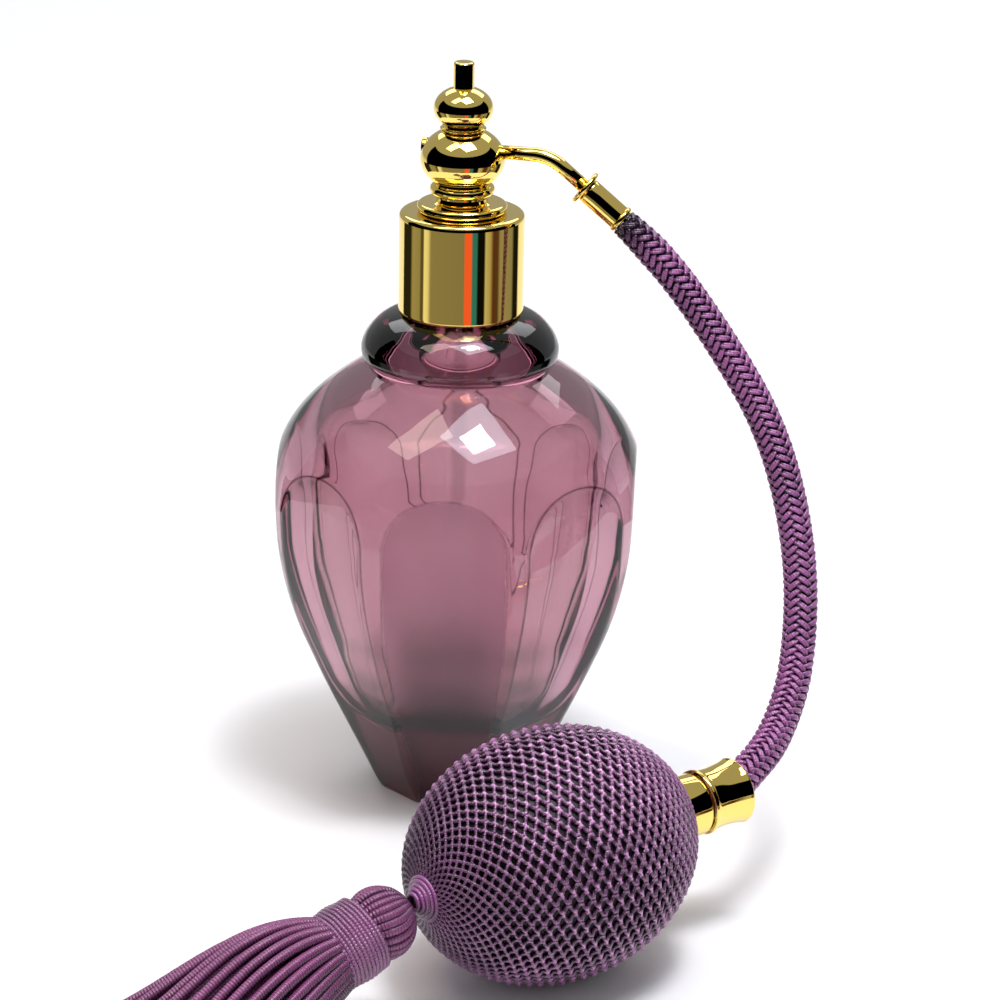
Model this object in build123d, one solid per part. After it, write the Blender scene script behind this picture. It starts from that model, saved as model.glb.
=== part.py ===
from build123d import *
import os
from math import cos, pi, radians, sin, sqrt, tan

# Perfume bottle with a long-cord bulb atomizer.
# Units are millimetres, +Z is up, and the origin is the centre of the bottle's base.

# ---------------------------------------------------------------- glass bottle
FACETS = 8                # flat-ground panels around the body
BODY_R = 36.4             # widest radius, over the ridges between the panels
BODY_H = 86.5             # base to the foot of the glass ring
BASE_R = 15.4             # ridge radius at the base
BELLY_Z = 60.0            # height of the widest section
FLANK_INSET = 10.5        # how far the flank is inside BODY_R at FLANK_Z
FLANK_Z = 22.0
SHOULDER_DROP = 9.3       # height of the shoulder point below BODY_H
SHOULDER_INSET = 6.1      # how far the shoulder point is inside BODY_R
PANEL_INSET = 2.0         # a panel's flat lies this far inside BODY_R at the belly
PANEL_MID_INSET = 13.5    # and this far inside at PANEL_MID_Z
PANEL_MID_Z = 19.0
WALL = 5.0                # glass at the belly, measured in from the panel's flat
BASE_THICK = 17.0         # solid glass under the cavity
CAVITY_FLOOR_R = 10.0
RING_R = 19.05            # moulded ring at the root of the neck
RING_FOOT_R = 17.6
RING_H = 10.5
NECK_R = 9.0
NECK_H = 14.65
NECK_WALL = 2.0
THREAD_STAND = 0.8        # how far the thread bead stands out of the neck
THREAD_PITCH = 3.0
THREAD_TURNS = 1.75

# ---------------------------------------------------------------- screw collar
SHELL_T = 0.8             # metal shell
LINER_T = 1.15            # wall of the plastic liner inside it
SHELL_TOP_T = 0.8
LINER_TOP_T = 1.2         # plastic liner's web under the shell's top
COLLAR_LIFT = 0.2         # gap from the glass ring up to the collar's lower edge
LINER_INSET = 1.0         # the liner stops this far inside the collar's mouth
THREAD_PLAY = 0.25        # liner bore outside the thread's crest
GASKET_T = 1.5
GASKET_EDGE = 0.2         # gasket and bushing stop this far, and
BUSHING_EDGE = 1.0        # this far, inside the neck's outside
BUSHING_T = 1.5
HUB_WALL = 2.0            # bushing's wall around the stem
STEM_R = 2.5
RUN = 0.06                # radial play of every running fit
FACE_GAP = 0.05           # axial play between faces that turn on each other

# ---------------------------------------------------------------- atomizer head
FLANGE_R = 8.6
FLANGE_T = 1.75
WAIST_R = 4.9
WAIST_H = 2.0
BEAD_R = 6.2
BEAD_H = 1.5
BALL_R = 8.07
BALL_HALF_H = 6.2
BALL_RISE = 8.5           # flange top to the centre of the large ball
BODY_NECK_R = 3.6
BODY_NECK_BEAD_R = 4.4
NECK_BEAD_HALF_H = 0.7
TOP_BALL_R = 5.67
TOP_BALL_HALF_H = 4.2
TOP_BALL_RISE = 9.7       # centre of the large ball to the centre of the top ball
TOP_BALL_SPIGOT_R = 2.2
PIN_R = 1.97
PIN_H = 5.0
PIN_TANG_R = 1.0
STEM_DROP = 3.2           # stem's foot below the glass rim
CLIP_T = 0.9
CLIP_OUT = 1.4            # clip stands out of the stem by this, and
CLIP_IN = 0.6             # into it by this
CLIP_CLEAR = 0.4          # gasket's bore outside the clip
DIP_R = 1.6
DIP_BORE_R = 1.1
DIP_FOOT_GAP = 2.5        # dip tube's foot above the cavity floor
MIXER_FOOT_DROP = 3.0     # mixing insert starts this far below the air line
MIXER_H = 5.0
AIR_RISE = 1.7            # air line above the centre of the large ball
JET_R = 1.8
JET_PROUD = 0.25
ORIFICE_R = 0.3

# ---------------------------------------------------------------- elbow and hose
HEAD_TURN = -9.0          # degrees from +X to the elbow, seen from above
ELBOW_R = 1.35
ELBOW_BORE_R = 0.8
ELBOW_REACH = 16.7        # axis to the elbow's corner
ELBOW_BEND = 9.0
ELBOW_DIP = 39.0          # degrees below level
RING_ALONG = 9.0          # corner to the ring, along the tube
RING_FLANGE_R = 3.5
RING_FLANGE_T = 0.8
FERRULE_R = 2.45
FERRULE_L = 9.4
HOSE_R = 3.2              # over the braid
HOSE_TUBE_R = 2.15        # rubber tube under the braid
SPIGOT = 4.0              # elbow tube inside the hose's end

# The hose's route: corner points from the ferrule's mouth down to the bulb's socket.
HOSE_POINTS = [
    (30.9, -4.9, 116.8),
    (38.0, -6.0, 111.0),
    (49.5, -8.0, 96.0),
    (60.8, -12.0, 78.5),
    (66.8, -19.5, 57.0),
    (66.8, -30.0, 38.5),
    (63.2, -43.0, 30.5),
    (59.0, -52.8, 27.6),
    (53.8, -58.3, 24.6),
]

# ---------------------------------------------------------------- squeeze bulb
BULB_R = 22.7             # over the net
BULB_HALF_L = 28.2
BULB_X = 23.4
BULB_Y = -84.2
BULB_YAW = 40.4           # degrees from +X to the bulb's neck end
BULB_PITCH = 2.5          # neck end slightly up
NET_T = 1.0
RUBBER_T = 2.0
VALVE_R = 3.2             # valve bodies, a push fit in the rubber
VALVE_BORE_R = 0.9
BALL_VALVE_R = 1.5
BALL_TRAVEL = 1.0
RUBBER_NECK_T = 1.2       # rubber neck around the outlet valve
SLEEVE_T = 0.6            # net gathered over the rubber neck
BULB_COLLAR_T = 0.8       # narrow part of the gold fitting
BULB_COLLAR_L = 5.4
HOSE_PLAY = 1.7           # socket's bore outside the hose
SOCKET_LIP = 1.2          # flared part of the gold fitting, at its rims
SOCKET_FLARE = 0.5        # rims outside its waist
SOCKET_L = 9.2
SOCKET_WEB = 1.6

# ---------------------------------------------------------------- tassel
KNOT_R = 2.0
KNOT_L = 1.0
TASSEL_YAW = 38.0         # degrees, turned like BULB_YAW, tassel pointing away from the bulb
TASSEL_DIP = 18.0
TASSEL_HEAD_R = 6.6
TASSEL_HEAD_L = 13.0
TASSEL_BAND_R = 7.4
TASSEL_BAND_L = 7.8
SKIRT_L = 44.0
SKIRT_HALF_W = 26.0
SKIRT_HALF_H = 4.5
TASSEL_GAP = 0.4          # clear space between the knot and the tassel's head

# ---------------------------------------------------------------- levels that follow
RING_TOP = BODY_H + RING_H
RIM_Z = RING_TOP + NECK_H
COLLAR_Z = RING_TOP + COLLAR_LIFT
GASKET_Z = RIM_Z
BUSHING_Z = GASKET_Z + GASKET_T
WEB_Z = BUSHING_Z + BUSHING_T + FACE_GAP
SHELL_TOP_Z = WEB_Z + LINER_TOP_T + SHELL_TOP_T
FLANGE_Z = SHELL_TOP_Z + FACE_GAP
HEAD_Z = FLANGE_Z + FLANGE_T
BALL_Z = HEAD_Z + BALL_RISE
TOP_BALL_Z = BALL_Z + TOP_BALL_RISE
AIR_Z = BALL_Z + AIR_RISE
MIXER_Z = AIR_Z - MIXER_FOOT_DROP
STEM_FOOT_Z = RIM_Z - STEM_DROP
NECK_BORE_R = NECK_R - NECK_WALL
CREST_R = NECK_R + THREAD_STAND
LINER_BORE_R = CREST_R + THREAD_PLAY
LINER_R = LINER_BORE_R + LINER_T
COLLAR_R = LINER_R + SHELL_T
HUB_R = STEM_R + HUB_WALL
CLIP_R = STEM_R + CLIP_OUT
CLIP_GROOVE_R = STEM_R - CLIP_IN
RUBBER_NECK_R = VALVE_R + RUBBER_NECK_T
SLEEVE_R = RUBBER_NECK_R + SLEEVE_T
BULB_COLLAR_R = SLEEVE_R + BULB_COLLAR_T
SOCKET_BORE_R = HOSE_R + HOSE_PLAY
SOCKET_RIM_R = SOCKET_BORE_R + SOCKET_LIP
BULB_AXIS = Vector(cos(radians(BULB_YAW)) * cos(radians(BULB_PITCH)),
                   sin(radians(BULB_YAW)) * cos(radians(BULB_PITCH)),
                   sin(radians(BULB_PITCH)))
BULB_CENTRE = Vector(BULB_X, BULB_Y, BULB_R + 0.05)
BULB_SIDE = Vector(-sin(radians(BULB_YAW)), cos(radians(BULB_YAW)), 0)
BULB_FRAME = Plane(origin=BULB_CENTRE, x_dir=BULB_SIDE, z_dir=BULB_AXIS)


def ring(outer, inner, low, high):
    """Hollow cylinder about Z."""
    middle = Pos(0, 0, (low + high) / 2)
    wall = middle * Cylinder(outer, high - low)
    if inner > 0:
        wall -= middle * Cylinder(inner, high - low + 2)
    return wall


def lathe(face):
    """Turn a flat outline, drawn as (radius, height), about Z."""
    return revolve(Plane.XZ * face, Axis.Z)


def spheroid(radius, half_height, z=0.0):
    """Ball flattened or stretched along Z."""
    half = Ellipse(radius, half_height) & (Pos(radius, 0) * Rectangle(2 * radius, 2 * half_height))
    return Pos(0, 0, z) * lathe(half)


def spheroid_reach(radius, half_length, at_radius):
    """Distance from a spheroid's centre to where it is at_radius thick."""
    return half_length * sqrt(1 - (at_radius / radius) ** 2)


# ---------------------------------------------------------------- glass bottle
def body_outline():
    """Half section of the blown body, its ring and its plain neck."""
    shoulder = (BODY_R - SHOULDER_INSET, BODY_H - SHOULDER_DROP)
    flank = Spline((BASE_R, 0), (BODY_R - FLANK_INSET, FLANK_Z), (BODY_R, BELLY_Z),
                   tangents=[(0.42, 0.91), (0, 1)])
    dome = Spline((BODY_R, BELLY_Z), shoulder, (RING_FOOT_R, BODY_H + 0.7),
                  tangents=[(0, 1), (-0.83, 0.56)])
    foot_z = BODY_H + 0.7
    roll = Spline((RING_FOOT_R, foot_z), (RING_R, foot_z + 0.27 * RING_H),
                  (RING_R - 2.4, foot_z + 0.68 * RING_H), (CREST_R + 1.2, RING_TOP),
                  tangents=[(0.9, 0.45), (-0.95, 0.3)])
    neck = Polyline((CREST_R + 1.2, RING_TOP), (NECK_R, RING_TOP), (NECK_R, RIM_Z),
                    (0, RIM_Z), (0, 0), (BASE_R, 0))
    return make_face(flank + dome + roll + neck)


def panel_block():
    """Everything on the inner side of one ground panel, before it is turned into place."""
    flat = BODY_R - PANEL_INSET
    far = 2 * BODY_R
    curve = Spline((BASE_R * cos(pi / FACETS), 0), (BODY_R - PANEL_MID_INSET, PANEL_MID_Z),
                   (flat, BELLY_Z), tangents=[(0.45, 0.89), (0, 1)])
    rest = Polyline((flat, BELLY_Z), (flat + 0.3, RIM_Z + 5), (-far, RIM_Z + 5), (-far, 0),
                    (BASE_R * cos(pi / FACETS), 0))
    side = Plane.XZ * make_face(curve + rest)
    return extrude(side, far, both=True)


def cavity():
    """Space inside the bottle, out through the neck."""
    side_r = BODY_R - PANEL_INSET - WALL
    low = Spline((CAVITY_FLOOR_R, BASE_THICK),
                 (BODY_R - PANEL_MID_INSET - 0.2 * WALL, PANEL_MID_Z + 2.2 * WALL),
                 (side_r, BELLY_Z - 3), tangents=[(1, 0.1), (0, 1)])
    high = Spline((side_r, BELLY_Z - 3),
                  (BODY_R - SHOULDER_INSET - WALL, BODY_H - SHOULDER_DROP - 0.5 * WALL),
                  (NECK_BORE_R, BODY_H + 1.0), tangents=[(0, 1), (-0.7, 0.7)])
    out = Polyline((NECK_BORE_R, BODY_H + 1.0), (NECK_BORE_R, RIM_Z + 1), (0, RIM_Z + 1),
                   (0, BASE_THICK), (CAVITY_FLOOR_R, BASE_THICK))
    return lathe(make_face(low + high + out))


def thread_bead():
    """Rounded screw bead on the neck."""
    start = RING_TOP + 3.2
    path = Pos(0, 0, start) * Helix(THREAD_PITCH, THREAD_PITCH * THREAD_TURNS, NECK_R)
    section = Plane(path @ 0, z_dir=path % 0) * Circle(THREAD_STAND)
    return sweep(section, path=path, is_frenet=True)


def glass_bottle():
    blank = lathe(body_outline())
    for i in range(FACETS):
        blank &= Rot(0, 0, i * 360 / FACETS) * panel_block()
    blank -= cavity()
    return blank + thread_bead()


# ---------------------------------------------------------------- screw collar
def neck_gasket():
    return ring(NECK_R - GASKET_EDGE, CLIP_R + CLIP_CLEAR, GASKET_Z, GASKET_Z + GASKET_T)


def swivel_bushing():
    flange = ring(NECK_R - BUSHING_EDGE, STEM_R + RUN, BUSHING_Z, BUSHING_Z + BUSHING_T)
    hub = ring(HUB_R, STEM_R + RUN, BUSHING_Z, SHELL_TOP_Z)
    return flange + hub


def collar_shell():
    shell = ring(COLLAR_R, LINER_R, COLLAR_Z, SHELL_TOP_Z)
    shell += ring(COLLAR_R, HUB_R + RUN, SHELL_TOP_Z - SHELL_TOP_T, SHELL_TOP_Z)
    rim = shell.edges().filter_by(GeomType.CIRCLE).group_by(Axis.Z)[-1].sort_by(SortBy.RADIUS)[-1]
    return fillet(rim, 0.35)


def collar_liner():
    top = SHELL_TOP_Z - SHELL_TOP_T
    skirt = ring(LINER_R, LINER_BORE_R, COLLAR_Z + LINER_INSET, top)
    return skirt + ring(LINER_R, HUB_R + RUN, top - LINER_TOP_T, top)


# ---------------------------------------------------------------- atomizer head
def head_direction(along, z):
    """Point at a distance from the bottle's axis, on the elbow's side."""
    turn = radians(HEAD_TURN)
    return Vector(along * cos(turn), along * sin(turn), z)


def cross_drill(radius, start, end):
    """Level cylinder on the air line, between two distances from the axis."""
    way = head_direction(end, 0) - head_direction(start, 0)
    frame = Plane(origin=head_direction(start, AIR_Z), z_dir=way)
    length = abs(end - start)
    return frame.location * (Pos(0, 0, length / 2) * Cylinder(radius, length))


def head_flange():
    disc = ring(FLANGE_R, STEM_R, FLANGE_Z, HEAD_Z)
    outer = disc.edges().filter_by(GeomType.CIRCLE).filter_by(lambda edge: edge.radius > STEM_R + 1)
    return fillet(outer, 0.4)


def atomizer_body():
    solid = ring(WAIST_R, 0, HEAD_Z, HEAD_Z + WAIST_H)
    solid += spheroid(BEAD_R, BEAD_H, HEAD_Z + WAIST_H + 0.6)
    solid += spheroid(BALL_R, BALL_HALF_H, BALL_Z)
    neck_top = TOP_BALL_Z - 0.75 * TOP_BALL_HALF_H
    solid += ring(BODY_NECK_R, 0, BALL_Z, neck_top)
    solid += spheroid(BODY_NECK_BEAD_R, NECK_BEAD_HALF_H, neck_top - NECK_BEAD_HALF_H)
    solid -= ring(STEM_R, 0, HEAD_Z - 1, MIXER_Z + MIXER_H)
    solid -= ring(TOP_BALL_SPIGOT_R, 0, neck_top - 3.0, neck_top + 3)
    solid -= cross_drill(ELBOW_R, 0, 2 * BALL_R)
    return solid - cross_drill(JET_R, 0, -2 * BALL_R)


def top_ball():
    neck_top = TOP_BALL_Z - 0.75 * TOP_BALL_HALF_H
    ball = spheroid(TOP_BALL_R, TOP_BALL_HALF_H, TOP_BALL_Z)
    ball -= ring(2 * TOP_BALL_R, 0, neck_top - 10, neck_top)
    ball += ring(TOP_BALL_SPIGOT_R, 0, neck_top - 2.8, TOP_BALL_Z)
    return ball - ring(PIN_TANG_R, 0, TOP_BALL_Z, TOP_BALL_Z + 10)


def finial_pin():
    foot = TOP_BALL_Z + TOP_BALL_HALF_H - 0.3
    pin = ring(PIN_R, 0, foot, foot + PIN_H)
    tip = pin.edges().filter_by(GeomType.CIRCLE).sort_by(Axis.Z)[-1]
    pin = fillet(tip, 0.5) - spheroid(TOP_BALL_R, TOP_BALL_HALF_H, TOP_BALL_Z)
    return pin + ring(PIN_TANG_R, 0, TOP_BALL_Z + 0.5, foot + 1)


def stem():
    """Tube that carries the dip tube and holds the head to the bushing."""
    solid = ring(STEM_R, DIP_R, STEM_FOOT_Z, MIXER_Z)
    clip_z = BUSHING_Z - FACE_GAP - CLIP_T
    return solid - ring(STEM_R + 1, CLIP_GROOVE_R, clip_z, clip_z + CLIP_T)


def stem_clip():
    """Split ring in the stem's groove, under the bushing."""
    clip_z = BUSHING_Z - FACE_GAP - CLIP_T
    clip = ring(CLIP_R, CLIP_GROOVE_R, clip_z, clip_z + CLIP_T)
    return clip - Pos(-CLIP_R, 0, clip_z) * Box(2 * CLIP_R, 1.2, 4)


def dip_tube():
    return ring(DIP_R, DIP_BORE_R, BASE_THICK + DIP_FOOT_GAP, MIXER_Z)


def mixing_insert():
    """Brass plug where air crosses the top of the liquid tube."""
    plug = ring(STEM_R, 0, MIXER_Z, MIXER_Z + MIXER_H)
    plug -= ring(0.6, 0, MIXER_Z - 1, AIR_Z)
    plug -= cross_drill(ELBOW_BORE_R, 0, 2 * STEM_R)
    return plug - cross_drill(ELBOW_BORE_R, 0, -2 * STEM_R)


def spray_nozzle():
    """Jet plug, flush with the large ball on the side away from the elbow."""
    proud = spheroid(BALL_R + JET_PROUD, BALL_HALF_H + JET_PROUD, BALL_Z)
    jet = cross_drill(JET_R, -STEM_R - 0.1, -2 * BALL_R) & proud
    jet -= cross_drill(ELBOW_BORE_R, 0, -0.7 * BALL_R)
    return jet - cross_drill(ORIFICE_R, 0, -2 * BALL_R)


# ---------------------------------------------------------------- elbow and hose
def elbow_point(along):
    """Point on the tube past the elbow's corner."""
    dip = radians(ELBOW_DIP)
    return head_direction(ELBOW_REACH + along * cos(dip), AIR_Z - along * sin(dip))


def elbow_frame(along):
    return Plane(origin=elbow_point(along), z_dir=elbow_point(along + 1) - elbow_point(along))


def sleeve_on_elbow(outer, inner, start, length):
    return elbow_frame(start).location * ring(outer, inner, 0, length)


FERRULE_START = RING_ALONG + RING_FLANGE_T / 2
FERRULE_END = FERRULE_START + FERRULE_L


def air_elbow():
    start = head_direction(STEM_R + 0.1, AIR_Z)
    path = FilletPolyline(start, elbow_point(0), elbow_point(FERRULE_END + SPIGOT), radius=ELBOW_BEND)
    frame = Plane(origin=start, z_dir=path % 0)
    tube = sweep(frame * Circle(ELBOW_R), path=path)
    return tube - sweep(frame * Circle(ELBOW_BORE_R), path=path)


def elbow_ring():
    return sleeve_on_elbow(RING_FLANGE_R, ELBOW_R, RING_ALONG - RING_FLANGE_T / 2, RING_FLANGE_T)


def hose_ferrule():
    return sleeve_on_elbow(FERRULE_R, ELBOW_R, FERRULE_START, FERRULE_L)


def bend_radii(points):
    """Radius of each rounded corner: 0.45 of the shorter run beside it."""
    radii = []
    for before, here, after in zip(points, points[1:], points[2:]):
        run_in = Vector(*here) - Vector(*before)
        run_out = Vector(*after) - Vector(*here)
        turn = radians(run_in.get_angle(run_out))
        radii.append(0.45 * min(run_in.length, run_out.length) / tan(turn / 2))
    return radii


def hose_path():
    return FilletPolyline(*HOSE_POINTS, radius=bend_radii(HOSE_POINTS))


def hose_layer(outer, inner):
    path = hose_path()
    frame = Plane(origin=path @ 0, z_dir=path % 0)
    return sweep(frame * Circle(outer), path=path) - sweep(frame * Circle(inner), path=path)


def hose_inner_tube():
    return hose_layer(HOSE_TUBE_R, ELBOW_R)


def hose_braid():
    return hose_layer(HOSE_R, HOSE_TUBE_R)


# ---------------------------------------------------------------- squeeze bulb
# Bulb pieces are drawn about Z from the bulb's centre, neck end up, then laid down.
NECK_START = spheroid_reach(BULB_R, BULB_HALF_L, SLEEVE_R)
BULB_COLLAR_START = NECK_START + 0.1
SOCKET_START = BULB_COLLAR_START + BULB_COLLAR_L + 0.1
SOCKET_END = SOCKET_START + SOCKET_L
VALVE_START = BULB_HALF_L - NET_T - RUBBER_T - 1.0
TAIL_END = -(BULB_HALF_L + 0.4)


def lay_down(solid):
    return BULB_FRAME.location * solid


def bulb_net():
    """Knitted cover, drawn as one skin over the rubber, gathered over its neck."""
    skin = spheroid(BULB_R, BULB_HALF_L) + ring(SLEEVE_R, 0, 0, SOCKET_START - 1.0)
    skin -= spheroid(BULB_R - NET_T, BULB_HALF_L - NET_T)
    skin -= ring(RUBBER_NECK_R, 0, 0, BULB_HALF_L + 20)
    return lay_down(skin - ring(VALVE_R, 0, -BULB_HALF_L - 5, -BULB_HALF_L / 2))


def rubber_bulb():
    outer = spheroid(BULB_R - NET_T, BULB_HALF_L - NET_T)
    outer += ring(RUBBER_NECK_R, 0, 0, SOCKET_START - 1.0)
    inner_l = BULB_HALF_L - NET_T - RUBBER_T
    outer -= spheroid(BULB_R - NET_T - RUBBER_T, inner_l)
    return lay_down(outer - ring(VALVE_R, 0, -BULB_HALF_L - 5, BULB_HALF_L + 20))


def bulb_collar():
    collar = ring(BULB_COLLAR_R, SLEEVE_R, BULB_COLLAR_START, BULB_COLLAR_START + BULB_COLLAR_L)
    rim = collar.edges().filter_by(GeomType.CIRCLE).filter_by(lambda edge: edge.radius > SLEEVE_R + 0.1)
    return lay_down(fillet(rim, 0.3))


def hose_socket():
    """Flared metal cup around the end of the hose."""
    waist = (SOCKET_START + SOCKET_END) / 2
    side = ThreePointArc((SOCKET_RIM_R, SOCKET_START), (SOCKET_RIM_R - SOCKET_FLARE, waist),
                         (SOCKET_RIM_R, SOCKET_END))
    rest = Polyline((SOCKET_RIM_R, SOCKET_END), (SOCKET_BORE_R, SOCKET_END),
                    (SOCKET_BORE_R, SOCKET_START + SOCKET_WEB), (VALVE_R, SOCKET_START + SOCKET_WEB),
                    (VALVE_R, SOCKET_START), (SOCKET_RIM_R, SOCKET_START))
    return lay_down(lathe(make_face(side + rest)))


def valve_chamber(seat):
    """Room for a valve's ball and its travel, beyond its seat."""
    return ring(BALL_VALVE_R + RUN, 0, seat, seat + 2 * BALL_VALVE_R + BALL_TRAVEL + RUN)


OUTLET_END = SOCKET_START + SOCKET_WEB
OUTLET_SEAT = VALVE_START + 2.0
INLET_END = -VALVE_START + 0.6
INLET_SEAT = TAIL_END + 1.0


def outlet_valve_body():
    body = ring(VALVE_R, VALVE_BORE_R, VALVE_START, OUTLET_END)
    return lay_down(body - valve_chamber(OUTLET_SEAT))


def outlet_valve_ball():
    return lay_down(Pos(0, 0, OUTLET_SEAT + BALL_VALVE_R + RUN / 2) * Sphere(BALL_VALVE_R))


def outlet_barb():
    """Brass tube that the hose's rubber core is pushed over."""
    hose_end = (Vector(*HOSE_POINTS[-1]) - BULB_CENTRE).dot(BULB_AXIS)
    return lay_down(ring(ELBOW_R, VALVE_BORE_R, OUTLET_END, hose_end + 1.0))


def inlet_valve_body():
    body = ring(VALVE_R, VALVE_BORE_R, TAIL_END, INLET_END)
    return lay_down(body - valve_chamber(INLET_SEAT))


def inlet_valve_ball():
    return lay_down(Pos(0, 0, INLET_SEAT + BALL_VALVE_R + RUN / 2) * Sphere(BALL_VALVE_R))


TASSEL_ROOT = BULB_CENTRE + BULB_AXIS * (TAIL_END - KNOT_L)


def tail_knot():
    """Tied end of the net, around the air inlet's mouth. It ends in an upright round on which the tassel swings."""
    knot = lay_down(ring(KNOT_R, 0, TAIL_END - KNOT_L, TAIL_END))
    knot += Pos(TASSEL_ROOT) * ring(KNOT_R, 0, -KNOT_R, KNOT_R)
    return knot & lay_down(ring(3 * KNOT_R, VALVE_BORE_R, TAIL_END - 4 * KNOT_R, TAIL_END))


# ---------------------------------------------------------------- tassel


def tassel_axis(dip):
    yaw = radians(TASSEL_YAW)
    return Vector(-cos(yaw) * cos(dip), -sin(yaw) * cos(dip), -sin(dip))


TASSEL_SIDE = Vector(-sin(radians(TASSEL_YAW)), cos(radians(TASSEL_YAW)), 0)
TASSEL_FRAME = Plane(origin=TASSEL_ROOT, x_dir=TASSEL_SIDE, z_dir=tassel_axis(radians(TASSEL_DIP)))
BAND_START = TASSEL_GAP + 0.8 * TASSEL_HEAD_L
BAND_END = BAND_START + TASSEL_BAND_L


def tassel_head():
    """Folded strands bulging above the binding, parted around the knot."""
    half = TASSEL_HEAD_L / 2
    bulge = spheroid(TASSEL_HEAD_R, half, TASSEL_GAP + half)
    bulge -= ring(2 * TASSEL_HEAD_R, 0, BAND_START, BAND_END + 20)
    return TASSEL_FRAME.location * bulge - Pos(TASSEL_ROOT) * ring(KNOT_R + TASSEL_GAP, 0, -20, 20)


def tassel_band():
    band = ring(TASSEL_BAND_R, 0, BAND_START, BAND_END)
    return TASSEL_FRAME.location * fillet(band.edges().filter_by(GeomType.CIRCLE), 1.0)


def tassel_skirt():
    """Fan of hanging strands, spread on the table."""
    top = Plane(origin=TASSEL_FRAME.from_local_coords((0, 0, BAND_END)),
                x_dir=TASSEL_FRAME.x_dir, z_dir=TASSEL_FRAME.z_dir)
    level = tassel_axis(0)
    foot = top.origin + level * SKIRT_L
    end = Plane(origin=(foot.X, foot.Y, SKIRT_HALF_H + 0.1), x_dir=TASSEL_FRAME.x_dir, z_dir=level)
    wide = end * Ellipse(SKIRT_HALF_W, SKIRT_HALF_H)
    return loft([top * Circle(TASSEL_BAND_R - 0.6), wide])


# ---------------------------------------------------------------- build
PARTS = [
    glass_bottle, neck_gasket, swivel_bushing, collar_shell, collar_liner,
    head_flange, atomizer_body, top_ball, finial_pin, stem, stem_clip, dip_tube, mixing_insert,
    spray_nozzle, air_elbow, elbow_ring, hose_ferrule, hose_inner_tube, hose_braid,
    bulb_net, rubber_bulb, bulb_collar, hose_socket, outlet_valve_body, outlet_valve_ball,
    outlet_barb, inlet_valve_body, inlet_valve_ball, tail_knot,
    tassel_head, tassel_band, tassel_skirt,
]

os.makedirs("parts", exist_ok=True)
for make in PARTS:
    export_step(make(), f"parts/{make.__name__}.step")

print("hose length", round(hose_path().length, 1))
print("hose bend radii", [round(radius, 1) for radius in bend_radii(HOSE_POINTS)])
print("elbow mouth", elbow_point(FERRULE_END))
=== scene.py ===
from math import ceil, cos, pi, radians, sin, sqrt, tan

import bmesh
import bpy
import numpy as np
from mathutils import Matrix, Vector
from mathutils.geometry import interpolate_bezier


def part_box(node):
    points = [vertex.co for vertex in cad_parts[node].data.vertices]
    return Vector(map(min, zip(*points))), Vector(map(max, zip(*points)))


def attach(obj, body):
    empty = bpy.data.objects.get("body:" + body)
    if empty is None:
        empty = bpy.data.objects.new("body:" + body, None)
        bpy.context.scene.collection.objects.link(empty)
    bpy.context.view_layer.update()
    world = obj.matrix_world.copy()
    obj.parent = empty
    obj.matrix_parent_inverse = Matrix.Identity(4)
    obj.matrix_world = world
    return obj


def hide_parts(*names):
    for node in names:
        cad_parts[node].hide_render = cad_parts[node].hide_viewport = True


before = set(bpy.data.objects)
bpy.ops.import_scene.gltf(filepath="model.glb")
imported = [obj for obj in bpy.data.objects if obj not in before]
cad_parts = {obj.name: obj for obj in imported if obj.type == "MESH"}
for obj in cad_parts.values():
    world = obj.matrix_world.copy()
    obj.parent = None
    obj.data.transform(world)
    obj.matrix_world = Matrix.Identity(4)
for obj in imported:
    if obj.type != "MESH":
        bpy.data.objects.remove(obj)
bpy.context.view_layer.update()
scene = bpy.context.scene
MM = 0.001

# ---------------------------------------------------------------- view and light
# A long lens, a little above the bottle and turned slightly to its right, over a seamless
# white table. Window-like softboxes overhead, and in front a dark room made of painted reflections: glowing
# and black surfaces that only glass and gold reflect.
VIEW_TURN = radians(3.4)
VIEW_DIP = radians(19.7)
VIEW_ROLL = radians(-1.05)
VIEW_DISTANCE = 0.7677
VIEW_AIM = Vector((0.0081, 0.0, 0.0586))
LENS_MM = 142.2

ahead = Vector((0.0, cos(VIEW_DIP), -sin(VIEW_DIP)))
level = Vector((1.0, 0.0, 0.0))
above = Vector((0.0, sin(VIEW_DIP), cos(VIEW_DIP)))
right = level * cos(VIEW_ROLL) - above * sin(VIEW_ROLL)
upward = level * sin(VIEW_ROLL) + above * cos(VIEW_ROLL)
basis = Matrix((right, upward, -ahead)).transposed()
turn = Matrix.Rotation(VIEW_TURN, 4, "Z")
camera = bpy.data.objects.new("camera", bpy.data.cameras.new("camera"))
camera.data.lens = LENS_MM
camera.data.sensor_fit = "HORIZONTAL"
camera.data.clip_start = 0.01
camera.matrix_world = turn @ Matrix.Translation(VIEW_AIM - ahead * VIEW_DISTANCE) @ basis.to_4x4()
scene.collection.objects.link(camera)
scene.camera = camera
scene.view_settings.view_transform = "Standard"


def material(name, **values):
    """New material, with plain values for its Principled shader's sockets."""
    made = bpy.data.materials.new(name)
    made.use_nodes = True
    shader = made.node_tree.nodes["Principled BSDF"]
    for socket, value in values.items():
        shader.inputs[socket.replace("_", " ")].default_value = value
    return made, made.node_tree, shader


def mesh_object(name, mesh, *finishes):
    made = bpy.data.objects.new(name, mesh)
    scene.collection.objects.link(made)
    for finish in finishes:
        made.data.materials.append(finish)
    return made


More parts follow.
